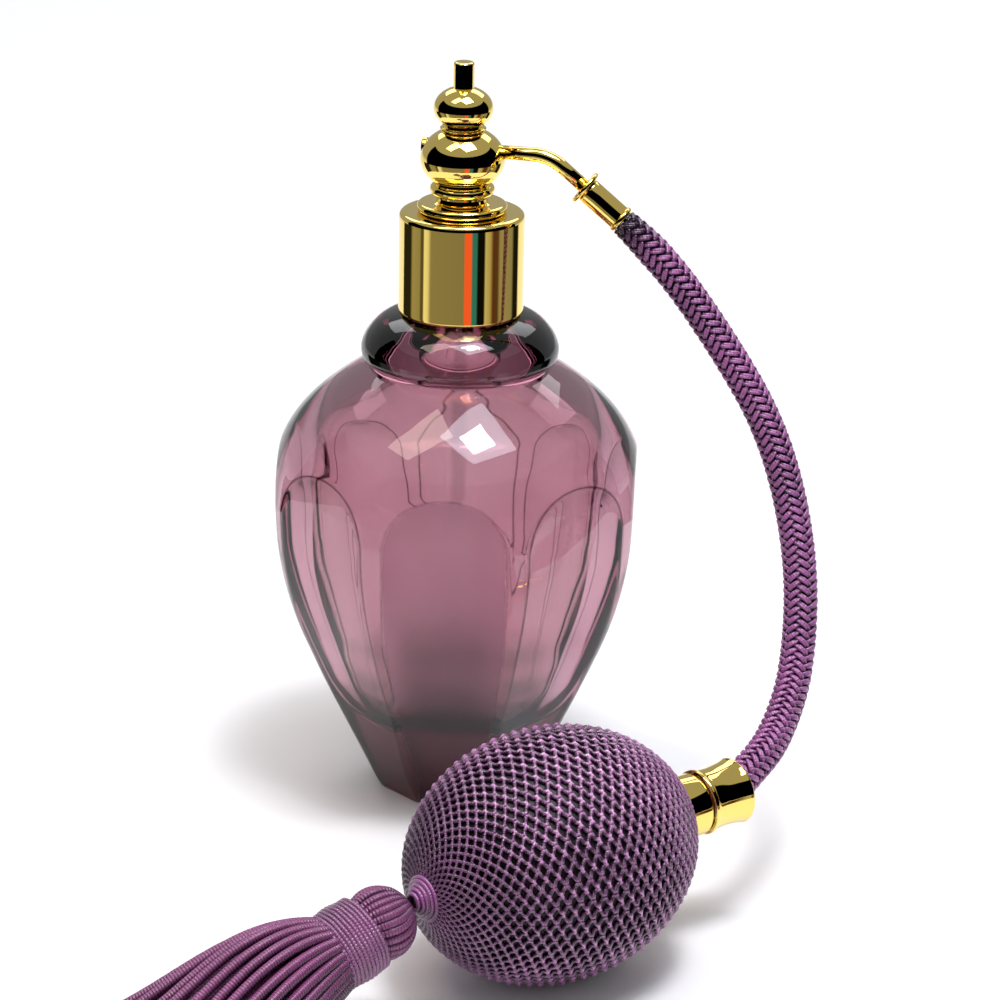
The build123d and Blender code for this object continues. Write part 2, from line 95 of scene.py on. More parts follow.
floor_finish, floor_tree, floor_shader = material(
    "table", Base_Color=(0.90, 0.90, 0.915, 1), Roughness=0.55, Specular_IOR_Level=0.2)
mottle = floor_tree.nodes.new("ShaderNodeTexNoise")
mottle.inputs["Scale"].default_value = 3.0
tone = floor_tree.nodes.new("ShaderNodeValToRGB")
tone.color_ramp.elements[0].color = (0.90, 0.895, 0.90, 1)
tone.color_ramp.elements[1].color = (0.93, 0.93, 0.945, 1)
floor_tree.links.new(mottle.outputs["Fac"], tone.inputs["Fac"])
floor_tree.links.new(tone.outputs["Color"], floor_shader.inputs["Base Color"])
bm = bmesh.new()
bmesh.ops.create_grid(bm, x_segments=1, y_segments=1, size=4.0)
floor_mesh = bpy.data.meshes.new("table_top")
bm.to_mesh(floor_mesh)
bm.free()
table_top = mesh_object("table_top", floor_mesh, floor_finish)

world = bpy.data.worlds.new("studio")
world.use_nodes = True
world.node_tree.nodes["Background"].inputs["Color"].default_value = (0.97, 0.98, 1.0, 1)
world.node_tree.nodes["Background"].inputs["Strength"].default_value = 0.40
scene.world = world


def softbox(name, place, towards, width, depth, watts, colour):
    light = bpy.data.lights.new(name, "AREA")
    light.shape = "RECTANGLE"
    light.size = width
    light.size_y = depth
    light.energy = watts
    light.color = colour
    lamp = bpy.data.objects.new(name, light)
    facing = (towards - place).to_track_quat("-Z", "Y").to_matrix().to_4x4()
    lamp.matrix_world = Matrix.Translation(place) @ facing
    scene.collection.objects.link(lamp)


shoulder = Vector((0.0, -0.03, 0.075))
softbox("window_left", Vector((-0.25, -0.17, 0.85)), shoulder, 0.24, 0.40, 1.5, (1.0, 0.84, 0.70))
softbox("window_right", Vector((0.15, -0.17, 0.88)), shoulder, 0.40, 0.40, 3.4, (0.86, 0.90, 1.0))
softbox("sun_patch", Vector((0.13, -0.17, 0.80)), shoulder, 0.17, 0.17, 2.8, (1.0, 1.0, 1.0))
softbox("back_window", Vector((0.0, 1.1, 0.95)), Vector((0.0, 1.0, 0.0)), 1.6, 0.8, 9.0, (0.96, 0.98, 1.0))


# The dark room in front of the table, as painted reflections seen only in the glass and the gold: a curved
# black wall, and in front of it a glowing ring at table level whose tones paint the far part of the table, in
# shade, with things lying on it. Neither lights nor shades anything else.
PAINTED_REFLECTION_TONES = [           # degrees around from the camera, and the painted reflection tone there
    (-180, (0.02, 0.02, 0.015)), (-104, (0.02, 0.02, 0.015)), (-98, (0.35, 0.33, 0.27)),
    (-80, (0.30, 0.29, 0.25)), (-77, (0.10, 0.09, 0.06)), (-72, (0.10, 0.09, 0.06)),
    (-70, (0.95, 0.95, 0.95)), (-62, (0.80, 0.80, 0.80)), (-56, (0.27, 0.26, 0.24)),
    (6, (0.24, 0.235, 0.22)), (7, (0.95, 0.14, 0.08)), (19, (0.95, 0.14, 0.08)),
    (20, (0.03, 0.22, 0.45)), (29, (0.03, 0.22, 0.45)), (30, (0.005, 0.005, 0.005)),
    (43, (0.005, 0.005, 0.005)), (45, (0.55, 0.55, 0.50)), (54, (0.45, 0.40, 0.30)),
    (60, (0.10, 0.04, 0.03)), (70, (0.10, 0.05, 0.03)), (75, (0.32, 0.31, 0.30)),
    (104, (0.28, 0.28, 0.27)), (110, (0.01, 0.01, 0.01)), (124, (0.01, 0.01, 0.01)),
    (126, (0.75, 0.75, 0.72)), (150, (0.75, 0.75, 0.72))]
painted_reflection_finish, room_tree, room_shader = material("room", Base_Color=(0, 0, 0, 1), Roughness=1.0,
                                               Specular_IOR_Level=0.0, Emission_Strength=1.0)
room_place = room_tree.nodes.new("ShaderNodeTexCoord")
room_turn = room_tree.nodes.new("ShaderNodeMapping")
room_turn.inputs["Rotation"].default_value = (0, 0, pi / 2 - VIEW_TURN)
around = room_tree.nodes.new("ShaderNodeTexGradient")
around.gradient_type = "RADIAL"
tones = room_tree.nodes.new("ShaderNodeValToRGB")
ramp = tones.color_ramp
ramp.elements[0].color = (*PAINTED_REFLECTION_TONES[0][1], 1)
ramp.elements[1].color = (*PAINTED_REFLECTION_TONES[-1][1], 1)
for degrees, tone in PAINTED_REFLECTION_TONES[1:-1]:
    ramp.elements.new(degrees / 360 + 0.5).color = (*tone, 1)
# Only the table-level ring glows with these painted reflection tones; the wall stays black.
height = room_tree.nodes.new("ShaderNodeSeparateXYZ")
is_table = room_tree.nodes.new("ShaderNodeMath")
is_table.operation = "LESS_THAN"
is_table.inputs[1].default_value = 0.01
room_tree.links.new(room_place.outputs["Object"], room_turn.inputs["Vector"])
room_tree.links.new(room_turn.outputs["Vector"], around.inputs["Vector"])
room_tree.links.new(around.outputs["Fac"], tones.inputs["Fac"])
room_tree.links.new(room_place.outputs["Object"], height.inputs["Vector"])
room_tree.links.new(height.outputs["Z"], is_table.inputs[0])
room_tree.links.new(is_table.outputs[0], room_shader.inputs["Emission Strength"])
room_tree.links.new(tones.outputs["Color"], room_shader.inputs["Emission Color"])


def room_part(name, profile, half_turn):
    """A part of the dark room's painted reflection, swept round the bottle's axis to each side of the camera.
    """
    bm = bmesh.new()
    ring = [bm.verts.new((0, -reach, high)) for reach, high in profile]
    edges = [bm.edges.new(pair) for pair in zip(ring, ring[1:])]
    first = Matrix.Rotation(VIEW_TURN - radians(half_turn), 3, "Z")
    bmesh.ops.rotate(bm, verts=bm.verts, cent=(0, 0, 0), matrix=first)
    bmesh.ops.spin(bm, geom=ring + edges, cent=(0, 0, 0), axis=(0, 0, 1),
                   angle=radians(2 * half_turn), steps=96)
    mesh = bpy.data.meshes.new(name)
    bm.to_mesh(mesh)
    bm.free()
    part = mesh_object(name, mesh, painted_reflection_finish)
    part.visible_camera = False
    part.visible_diffuse = False
    part.visible_shadow = False
    part.visible_volume_scatter = False
    return part


shaded_table = room_part("shaded_table", ((0.19, 0.002), (0.52, 0.002)), 128)
shaded_table.visible_transmission = False
room_part("room_wall", ((0.45, 0.011), (0.585, 0.02), (0.60, 0.55)), 112)


# ---------------------------------------------------------------- hose
# A soft rubber hose under a braided cover of glossy plum yarn, crimped into the elbow's
# ferrule at the top and tucked into the bulb's flared socket at the bottom.
HOSE_ROUTE = [
    (0.0309, -0.0049, 0.1168),
    (0.0380, -0.0060, 0.1110),
    (0.0495, -0.0080, 0.0960),
    (0.0608, -0.0120, 0.0785),
    (0.0668, -0.0195, 0.0570),
    (0.0668, -0.0300, 0.0385),
    (0.0632, -0.0430, 0.0305),
    (0.0590, -0.0528, 0.0276),
    (0.0538, -0.0583, 0.0246),
]
HOSE_R = 3.2 * MM
HOSE_CORE_R = 2.3 * MM
BRAID_ENDS = 8            # yarns laid each way around the hose
BRAID_LAY = 13.6 * MM     # one turn of a yarn, along the hose
BRAID_YARN_R = 0.37 * MM

# The yarn's look, shared by the braid, the net and the tassel: fine ribs of twisted fibre across each cord,
# with painted shade between the ribs, painted shading that is lighter where the yarn stands proud, and slow
# changes of colour along the piece.
yarn_look = bpy.data.node_groups.new("yarn_look", "ShaderNodeTree")
for label, kind in (("Dark", "NodeSocketColor"), ("Light", "NodeSocketColor"),
                    ("Ribs", "NodeSocketFloat"), ("Rib Shade", "NodeSocketFloat"),
                    ("Patch Scale", "NodeSocketFloat"), ("Proud Shading", "NodeSocketFloat")):
    yarn_look.interface.new_socket(label, in_out="INPUT", socket_type=kind)
for label, kind in (("Color", "NodeSocketColor"), ("Height", "NodeSocketFloat")):
    yarn_look.interface.new_socket(label, in_out="OUTPUT", socket_type=kind)


def add_node(tree, kind, operation=None, **values):
    """New node, with values for its sockets given by name or by i0, i1, i2."""
    node = tree.nodes.new(kind)
    if operation:
        node.operation = operation
    for socket, value in values.items():
        key = int(socket[1:]) if socket[0] == "i" and socket[1:].isdigit() else socket.replace("_", " ")
        if isinstance(value, bpy.types.NodeSocket):
            tree.links.new(value, node.inputs[key])
        else:
            node.inputs[key].default_value = value
    return node


g_in = yarn_look.nodes.new("NodeGroupInput")
g_out = yarn_look.nodes.new("NodeGroupOutput")
along = yarn_look.nodes.new("ShaderNodeAttribute")
along.attribute_name = "along"
wave = add_node(yarn_look, "ShaderNodeMath", "MULTIPLY", i0=along.outputs["Fac"], i1=g_in.outputs["Ribs"])
rib = add_node(yarn_look, "ShaderNodeMath", "SINE", i0=wave.outputs[0])
rib01 = add_node(yarn_look, "ShaderNodeMath", "MULTIPLY_ADD", i0=rib.outputs[0], i1=0.5, i2=0.5)
coords = yarn_look.nodes.new("ShaderNodeTexCoord")
patch = add_node(yarn_look, "ShaderNodeTexNoise", Vector=coords.outputs["Object"],
                 Scale=g_in.outputs["Patch Scale"], Detail=3.0)
fibre = add_node(yarn_look, "ShaderNodeTexNoise", Vector=coords.outputs["Object"], Scale=9000.0, Detail=1.0)
depth = add_node(yarn_look, "ShaderNodeMath", "MULTIPLY_ADD", i0=patch.outputs["Fac"], i1=0.9, i2=-0.62)
# Painted shading: how proud each vertex stands, stored on the mesh, lightens the colour.
proud_shading = yarn_look.nodes.new("ShaderNodeAttribute")
proud_shading.attribute_name = "proud_shading"
raised = add_node(yarn_look, "ShaderNodeMath", "MULTIPLY_ADD",
                  i0=proud_shading.outputs["Fac"], i1=g_in.outputs["Proud Shading"], i2=depth.outputs[0])
# The shade mixes painted shade in the rib grooves, the painted proud shading and random patches.
shade = add_node(yarn_look, "ShaderNodeMath", "MULTIPLY_ADD",
                 i0=rib01.outputs[0], i1=g_in.outputs["Rib Shade"], i2=raised.outputs[0])
shade.use_clamp = True
mixed = yarn_look.nodes.new("ShaderNodeMix")
mixed.data_type = "RGBA"
yarn_look.links.new(shade.outputs[0], mixed.inputs[0])
yarn_look.links.new(g_in.outputs["Dark"], mixed.inputs[6])
yarn_look.links.new(g_in.outputs["Light"], mixed.inputs[7])
relief = add_node(yarn_look, "ShaderNodeMath", "MULTIPLY_ADD",
                  i0=fibre.outputs["Fac"], i1=0.25, i2=rib01.outputs[0])
yarn_look.links.new(mixed.outputs[2], g_out.inputs["Color"])
yarn_look.links.new(relief.outputs[0], g_out.inputs["Height"])


YARN_SHINE = {
    "Roughness": 0.30, "Specular_IOR_Level": 0.9, "Coat_Weight": 0.25, "Coat_Roughness": 0.22,
    "Sheen_Weight": 0.03, "Sheen_Roughness": 0.3}


def yarn(name, dark, light, pitch, contrast, patch_scale, rib_height, relief, **values):
    """Material of glossy twisted yarn. Pitch and rib_height are in metres."""
    made, tree, shader = material(name, **(YARN_SHINE | values))
    look = tree.nodes.new("ShaderNodeGroup")
    look.node_tree = yarn_look
    look.inputs["Dark"].default_value = (*dark, 1)
    look.inputs["Light"].default_value = (*light, 1)
    look.inputs["Ribs"].default_value = 2 * pi / pitch
    look.inputs["Rib Shade"].default_value = contrast
    look.inputs["Patch Scale"].default_value = patch_scale
    look.inputs["Proud Shading"].default_value = relief
    bump = add_node(tree, "ShaderNodeBump", Strength=0.8, Distance=rib_height, Height=look.outputs["Height"])
    tree.links.new(look.outputs["Color"], shader.inputs["Base Color"])
    tree.links.new(bump.outputs["Normal"], shader.inputs["Normal"])
    return made


braid_yarn = yarn("braid_yarn", (0.016, 0.001, 0.019), (0.36, 0.10, 0.32), 0.00045, 0.15, 60.0, 0.00006, 1.05,
                  Sheen_Tint=(0.95, 0.75, 1.0, 1))


def dull_rubber(name, colour, scale):
    """Dark rubber with a faint bloom."""
    made, tree, shader = material(name, Base_Color=(*colour, 1))
    bloom = add_node(tree, "ShaderNodeTexNoise", Scale=scale)
    dull = add_node(tree, "ShaderNodeMath", "MULTIPLY_ADD", i0=bloom.outputs["Fac"], i1=0.3, i2=0.4)
    tree.links.new(dull.outputs[0], shader.inputs["Roughness"])
    return made


core_rubber = dull_rubber("hose_rubber", (0.012, 0.004, 0.018), 400.0)


def spline_curve(name, lines, radius, kind="POLY", sides=1):
    """Curve object with one spline for each line of points.

    A point may carry a fourth number, its own share of the radius.
    """
    data = bpy.data.curves.new(name, "CURVE")
    data.dimensions = "3D"
    data.bevel_depth = radius
    data.bevel_resolution = sides
    for points in lines:
        spline = data.splines.new(kind)
        spline.points.add(len(points) - 1)
        for point, place in zip(spline.points, points):
            point.co = (*place[:3], 1)
            point.radius = place[3] if len(place) > 3 else 1
        spline.use_smooth = True
        if kind == "NURBS":
            spline.order_u = 3
            spline.use_endpoint_u = True
            spline.resolution_u = 24
    made = bpy.data.objects.new(name, data)
    scene.collection.objects.link(made)
    return made


def curve_mesh(curve):
    """Mesh of a curve object, which is removed."""
    bpy.context.view_layer.update()
    mesh = bpy.data.meshes.new_from_object(curve.evaluated_get(bpy.context.evaluated_depsgraph_get()))
    bpy.data.objects.remove(curve)
    return mesh


def run_along(points):
    """Distance along a line at each of its points."""
    steps = np.linalg.norm(np.diff(points, axis=0), axis=1)
    return np.concatenate([[0], np.cumsum(steps)])


def cords_mesh(name, lines, radius, *finishes, sides=1, crest=None):
    """One mesh of many cords, with its ends closed. It keeps the distance along each cord.

    With crest, which gives the outward way at each point, it also keeps how far each vertex
    faces that way, as painted light: vertices facing that way are painted lighter.
    """
    mesh = curve_mesh(spline_curve(name, lines, radius, sides=sides))
    mesh.materials.clear()
    made = mesh_object(name, mesh, *finishes)
    mesh.shade_smooth()
    centres = np.array([point[:3] for line in lines for point in line])
    run = np.concatenate([run_along(np.array(line)[:, :3]) for line in lines])
    each = len(mesh.vertices) // len(centres)
    layer = mesh.attributes.new("along", "FLOAT", "POINT")
    layer.data.foreach_set("value", np.repeat(run, each).astype(np.float32))
    if crest:
        outward = np.repeat(crest(centres), each, axis=0)
        offset = vertex_places(made) - np.repeat(centres, each, axis=0)
        mark_proud_shading(made, np.clip(0.5 + 0.5 * (offset * outward).sum(axis=1) / radius, 0, 1) ** 2.4)
    bm = bmesh.new()
    bm.from_mesh(mesh)
    bmesh.ops.holes_fill(bm, edges=[edge for edge in bm.edges if edge.is_boundary])
    bmesh.ops.recalc_face_normals(bm, faces=bm.faces)
    bm.to_mesh(mesh)
    bm.free()
    return made


def mark_proud_shading(made, heights):
    """Stores how proud of the weave each vertex stands, from 0 to 1, for the yarn's painted shading: proud
    parts are painted lighter, sunk ones darker.
    """
    layer = made.data.attributes.new("proud_shading", "FLOAT", "POINT")
    layer.data.foreach_set("value", np.clip(heights, 0, 1).astype(np.float32))


def vertex_places(made):
    places = np.empty(len(made.data.vertices) * 3)
    made.data.vertices.foreach_get("co", places)
    return places.reshape(-1, 3)


def carried_frames(points, stations):
    """Places, and two directions across the line that don't twist, at distances along it."""
    run = run_along(points)
    places = np.stack([np.interp(stations, run, points[:, i]) for i in range(3)], 1)
    tangents = np.gradient(places, axis=0)
    tangents /= np.linalg.norm(tangents, axis=1)[:, None]
    sides = np.zeros_like(places)
    side = np.cross(tangents[0], (0, 0, 1))
    for i, tangent in enumerate(tangents):
        side = side - tangent * side.dot(tangent)
        side = side / np.linalg.norm(side)
        sides[i] = side
    return places, sides, np.cross(tangents, sides)


route_mesh = curve_mesh(spline_curve("hose_line", [HOSE_ROUTE], 0.0, kind="NURBS"))
route_line = np.array([tuple(vert.co) for vert in route_mesh.vertices])
bpy.data.meshes.remove(route_mesh)
hose_run = run_along(route_line)[-1]

hose_core = cords_mesh("hose_core", [route_line], HOSE_CORE_R, core_rubber, sides=6)
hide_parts("hose_inner_tube")
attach(hose_core, "head")

samples = 5 * BRAID_ENDS * ceil(hose_run / BRAID_LAY) + 1
stations = np.linspace(0, hose_run, samples)
places, sides, ups = carried_frames(route_line, stations)
crossing = stations / BRAID_LAY * 2 * BRAID_ENDS
# The braid is squeezed at the ferrule and flares where it fills the socket's mouth.
taper = np.interp(stations, [0, 7 * MM, hose_run - 7 * MM, hose_run - 3.5 * MM, hose_run],
                  [0.80, 1, 1.06, 1.2, 1.25])
braid_lines = []
for way in (1, -1):
    for end in range(BRAID_ENDS):
        slot = way * crossing + 2 * end
        # Each yarn floats over two of the other way's, then dives under two.
        swell = np.sin(pi / 2 * (slot + 0.5)) / 0.707 * way
        lift = np.clip(swell, -1, 1) * 0.46 * MM
        for strand in (-1, 1):
            angle = 2 * pi * (slot / (2 * BRAID_ENDS)) + strand * 0.105
            reach = (HOSE_R - 0.80 * MM) * taper + lift
            ring = reach[:, None] * (np.cos(angle)[:, None] * sides + np.sin(angle)[:, None] * ups)
            braid_lines.append(places + ring)
hose_braid = cords_mesh("hose_cover", braid_lines, BRAID_YARN_R, braid_yarn)
# Painted shade: yarn sunk towards the hose is painted darker, and yarn standing out is painted lighter.
off_line = np.concatenate([np.linalg.norm(some[:, None] - route_line[None], axis=2).min(axis=1)
                           for some in np.array_split(vertex_places(hose_braid), 60)])
mark_proud_shading(hose_braid, np.clip((off_line - (HOSE_R - 0.85 * MM)) / (0.85 * MM), 0, 1) ** 3.2)
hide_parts("hose_braid")
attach(hose_braid, "head")


# ---------------------------------------------------------------- glass bottle
# Heavy mauve glass, blown in a mould and ground on eight sides. Its walls are thick, its foot
# is solid, and it has a moulded ring and a screw neck. The front panel is etched.
FLANK = [(15.4, 0.0), (18.8, 7.3), (22.3, 14.5), (25.8, 21.7), (29.1, 29.0), (32.2, 36.4), (34.5, 44.1),
         (35.9, 52.0), (36.4, 60.0)]
DOME = [(36.4, 60.0), (36.1, 64.4), (35.2, 68.6), (33.5, 72.6), (31.1, 76.2), (28.1, 79.4), (24.8, 82.2),
        (21.2, 84.8), (17.6, 87.0)]
RING = [(17.6, 87.0), (18.8, 88.2), (19.0, 90.2), (18.3, 92.1), (17.2, 93.7), (15.9, 95.0), (14.4, 95.9),
        (12.8, 96.5), (11.0, 97.0)]
PANEL = [(14.23, 0.0), (17.7, 7.2), (20.9, 14.5), (24.15, 21.8), (27.35, 29.1), (30.25, 36.5), (32.5, 44.2),
         (33.9, 52.0), (34.4, 60.0), (34.6, 72.0), (34.8, 90.0)]
HOLLOW_LOW = [(10.0, 17.0), (15.4, 18.9), (19.2, 23.4), (21.5, 28.9), (23.6, 34.4), (25.8, 39.8),
              (27.7, 45.4), (29.0, 51.1), (29.4, 57.0)]
HOLLOW_HIGH = [(29.4, 57.0), (29.25, 62.1), (28.6, 67.2), (27.0, 72.0), (23.95, 76.1), (19.8, 79.1),
               (15.4, 81.7), (11.0, 84.3), (7.0, 87.5)]
PANELS = 8
NECK_R = 9.0
NECK_BORE_R = 7.0
NECK_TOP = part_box("glass_bottle")[1][2] / MM
RING_TOP = 97.0
THREAD_STAND = 0.8
THREAD_PITCH = 3.0
THREAD_START = RING_TOP + 3.2
THREAD_TURNS = 1.75
GRIND_ROUND = 0.25        # how far a ground edge is rounded over
AROUND = 400
EDGE_DEPTH = 0.15         # depth of the ground edge band


def smooth_line(points, steps=6):
    """Smooth curve through points, as (radius, height) pairs."""
    line = [points[0]]
    for i in range(len(points) - 1):
        before = points[max(i - 1, 0)]
        a, b = points[i], points[i + 1]
        after = points[min(i + 2, len(points) - 1)]
        pull_a = [a[k] + (b[k] - before[k]) / 6 for k in (0, 1)]
        pull_b = [b[k] - (after[k] - a[k]) / 6 for k in (0, 1)]
        part = interpolate_bezier((*a, 0), (*pull_a, 0), (*pull_b, 0), (*b, 0), steps + 1)
        line += [(p[0], p[1]) for p in part[1:]]
    return line


def straight(a, b, steps):
    return [(a[0] + (b[0] - a[0]) * i / steps, a[1] + (b[1] - a[1]) * i / steps) for i in range(1, steps + 1)]


def spun(outline, steps, scale=MM):
    """bmesh of an outline of (radius, height) pairs, turned about Z and closed where it meets the axis."""
    bm = bmesh.new()
    ring = [bm.verts.new((radius * scale, 0, height * scale)) for radius, height in outline]
    edges = [bm.edges.new(pair) for pair in zip(ring, ring[1:])]
    bmesh.ops.spin(bm, geom=ring + edges, cent=(0, 0, 0), axis=(0, 0, 1), dvec=(0, 0, 0),
                   angle=2 * pi, steps=steps, use_merge=True, use_duplicate=False)
    bmesh.ops.remove_doubles(bm, verts=bm.verts, dist=1e-6)
    return bm


def smooth_least(a, b, reach):
    """The smaller of two lengths, rounded over where they cross."""
    nearness = max(reach - abs(a - b), 0) / reach
    return min(a, b) - nearness * nearness * reach / 4


panel_line = smooth_line(PANEL)
panel_r = np.array([p[0] for p in panel_line])
panel_z = np.array([p[1] for p in panel_line])
outside = [(0, 0)] + straight((0, 0), (14.9, 0), 10) + [(15.4, 0.35)]
outside += [p for p in smooth_line(FLANK, 6) if p[1] > 0.9]
outside += smooth_line(DOME, 6)[1:] + smooth_line(RING, 5)[1:]
outside += straight((11.0, RING_TOP), (NECK_R + 0.5, RING_TOP + 0.1), 4) + [(NECK_R + 0.1, RING_TOP + 0.5)]
outside += straight((NECK_R, RING_TOP + 0.9), (NECK_R, NECK_TOP - 0.6), 40)
outside += [(NECK_R - 0.18, NECK_TOP - 0.18), (NECK_R - 0.6, NECK_TOP), (NECK_BORE_R + 0.6, NECK_TOP)]
inside = [(NECK_BORE_R + 0.6, NECK_TOP), (NECK_BORE_R + 0.15, NECK_TOP - 0.15), (NECK_BORE_R, NECK_TOP - 0.6)]
inside += straight((NECK_BORE_R, NECK_TOP - 0.6), (NECK_BORE_R, 88.5), 8)
inside += smooth_line(HOLLOW_HIGH, 4)[::-1] + smooth_line(HOLLOW_LOW, 4)[::-1][1:]
inside += straight((10.0, 17.0), (0, 16.8), 6)

bm = spun(outside, AROUND)
depths = {name: bm.verts.layers.float.new(name) for name in ("ground", "gap", "front")}
for vert in bm.verts:
    x, y, z = (c / MM for c in vert.co)
    radius = sqrt(x * x + y * y)
    if radius < 1:
        continue
    angle = np.arctan2(y, x)
    if z < 86:
        reach = float(np.interp(z, panel_z, panel_r))
        width = 2 * pi / PANELS
        off = (angle + width / 2) % width - width / 2
        flat = smooth_least(reach / cos(off), reach / cos(width - abs(off)), 0.5)
        ground = smooth_least(radius, flat, min(GRIND_ROUND, radius / 4))
        # How deep the panel is ground here, how far its neighbour is, and whether it is the front one.
        vert[depths["ground"]] = radius - reach / cos(off)
        vert[depths["gap"]] = reach / cos(width - abs(off)) - reach / cos(off)
        vert[depths["front"]] = 1.0 if -y >= abs(x) / tan(pi / PANELS) - 0.01 else 0.0
    else:
        ground = radius
        vert[depths["ground"]] = -1.0
        turns = (z - THREAD_START) / THREAD_PITCH - angle / (2 * pi)
        near = abs(turns - round(turns)) * THREAD_PITCH
        along = (z - THREAD_START) / THREAD_PITCH / THREAD_TURNS
        if z > RING_TOP + 1.5 and 0 < along < 1.15 and near < THREAD_STAND:
            fade = min(1, along * 8, (1.15 - along) * 8)
            ground += fade * THREAD_STAND * sqrt(1 - (near / THREAD_STAND) ** 2)
    vert.co.x *= ground / radius
    vert.co.y *= ground / radius
for face in bm.faces:
    face.smooth = True
shell = bpy.data.meshes.new("shell")
bm.to_mesh(shell)
bm.free()
bm = spun(inside, 160)
for name in depths:
    bm.verts.layers.float.new(name)
for vert in bm.verts:
    vert[bm.verts.layers.float["ground"]] = -1.0
for face in bm.faces:
    face.smooth = True
bm.from_mesh(shell)
bpy.data.meshes.remove(shell)
rims = [e for e in bm.edges if e.is_boundary]
bmesh.ops.bridge_loops(bm, edges=rims)
bmesh.ops.recalc_face_normals(bm, faces=bm.faces)
bottle_mesh = bpy.data.meshes.new("bottle")
bm.to_mesh(bottle_mesh)
bm.free()

# Its colour comes from its thickness, and its tint is also painted darker towards the foot, standing in for
# the depth the thick glass shows there. The etched front panel scatters what shows through it.
bottle_glass, glass_tree, glass_shader = material("amethyst_glass", IOR=1.5, Transmission_Weight=1.0)
body_colour = add_node(glass_tree, "ShaderNodeVolumeAbsorption", Color=(0.74, 0.50, 0.60, 1), Density=118.0)
glass_tree.links.new(body_colour.outputs["Volume"], glass_tree.nodes["Material Output"].inputs["Volume"])


def glass_math(operation, clamp=False, **values):
    made = add_node(glass_tree, "ShaderNodeMath", operation, **values)
    made.use_clamp = clamp
    return made.outputs[0]


def depth_of(name):
    made = glass_tree.nodes.new("ShaderNodeAttribute")
    made.attribute_name = name
    return made.outputs["Fac"]


def glass_mix(amount, first, second):
    made = glass_tree.nodes.new("ShaderNodeMix")
    made.data_type = "RGBA"
    for socket, value in zip((made.inputs[0], made.inputs[6], made.inputs[7]), (amount, first, second)):
        if isinstance(value, bpy.types.NodeSocket):
            glass_tree.links.new(value, socket)
        else:
            socket.default_value = value
    return made.outputs[2]


inside_panel = glass_math("MULTIPLY", True, i0=depth_of("ground"), i1=1 / EDGE_DEPTH)
off_neighbour = glass_math("MULTIPLY", True, i0=depth_of("gap"), i1=1 / EDGE_DEPTH)
whole_panel = glass_math("MULTIPLY", i0=inside_panel, i1=off_neighbour)
etch_mask = glass_math("MULTIPLY", i0=whole_panel, i1=depth_of("front"))
# The ground edges are painted as dark lines, standing in for the light they turn aside.
edge_far = glass_math("MULTIPLY", i0=glass_math("ABSOLUTE", i0=depth_of("ground")), i1=1 / EDGE_DEPTH)
round_edge = glass_math("SUBTRACT", True, i0=1.0, i1=edge_far)
ridge = glass_math("SUBTRACT", True, i0=1.0, i1=off_neighbour)
ridge = glass_math("MULTIPLY", i0=ridge, i1=inside_panel)
edges = glass_math("MAXIMUM", i0=round_edge, i1=ridge)
less_in_front = glass_math("MULTIPLY_ADD", i0=depth_of("front"), i1=-0.55, i2=1.0)
edges = glass_math("MULTIPLY", i0=edges, i1=less_in_front)
etch_grain = add_node(glass_tree, "ShaderNodeTexNoise", Scale=5000.0, Detail=2.0)
etch_depth = glass_math("MULTIPLY_ADD", i0=etch_grain.outputs["Fac"], i1=0.10, i2=0.32)
etch_rough = glass_math("MULTIPLY", i0=etch_depth, i1=etch_mask)
# Painted depth: both the clear glass and the etched panel are tinted darker towards the foot.
glass_place = glass_tree.nodes.new("ShaderNodeTexCoord")
glass_height = add_node(glass_tree, "ShaderNodeSeparateXYZ", Vector=glass_place.outputs["Object"])
up_panel = add_node(glass_tree, "ShaderNodeMapRange", Value=glass_height.outputs["Z"],
                    From_Min=0.008, From_Max=0.062)
panel_tone = add_node(glass_tree, "ShaderNodeValToRGB", Fac=up_panel.outputs["Result"])
panel_tone.color_ramp.elements[0].color = (0.20, 0.085, 0.135, 1)
panel_tone.color_ramp.elements[1].color = (0.60, 0.43, 0.50, 1)
up_foot = add_node(glass_tree, "ShaderNodeMapRange", Value=glass_height.outputs["Z"],
                   From_Min=0.004, From_Max=0.022)
clear_tone = add_node(glass_tree, "ShaderNodeValToRGB", Fac=up_foot.outputs["Result"])
clear_tone.color_ramp.elements[0].color = (0.13, 0.018, 0.035, 1)
clear_tone.color_ramp.elements[1].color = (0.77, 0.61, 0.64, 1)
tone_mix = glass_mix(etch_mask, clear_tone.outputs["Color"], panel_tone.outputs["Color"])
# The painted dark edge lines are mixed over the tint.
glass_tree.links.new(glass_mix(edges, tone_mix, (0.03, 0.004, 0.010, 1)), glass_shader.inputs["Base Color"])
glass_tree.links.new(etch_rough, glass_shader.inputs["Roughness"])
bottle = mesh_object("bottle", bottle_mesh, bottle_glass)
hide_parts("glass_bottle")
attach(bottle, "bottle")


# ---------------------------------------------------------------- gold fittings
# Pressed and turned brass, polished and gold plated: collar, rose, stacked balls, pin, nozzle,
# elbow, ferrule, and the bulb's collar and socket. Everything is turned except the elbow.
gold, gold_tree, gold_shader = material("polished_gold", Base_Color=(0.94, 0.71, 0.19, 1), Metallic=1.0)
polish = add_node(gold_tree, "ShaderNodeTexNoise", Scale=90.0, Detail=1.0)
polish_rough = add_node(gold_tree, "ShaderNodeMapRange", Value=polish.outputs["Fac"],
                        From_Min=0.35, From_Max=0.7, To_Min=0.02, To_Max=0.05)
gold_tree.links.new(polish_rough.outputs["Result"], gold_shader.inputs["Roughness"])


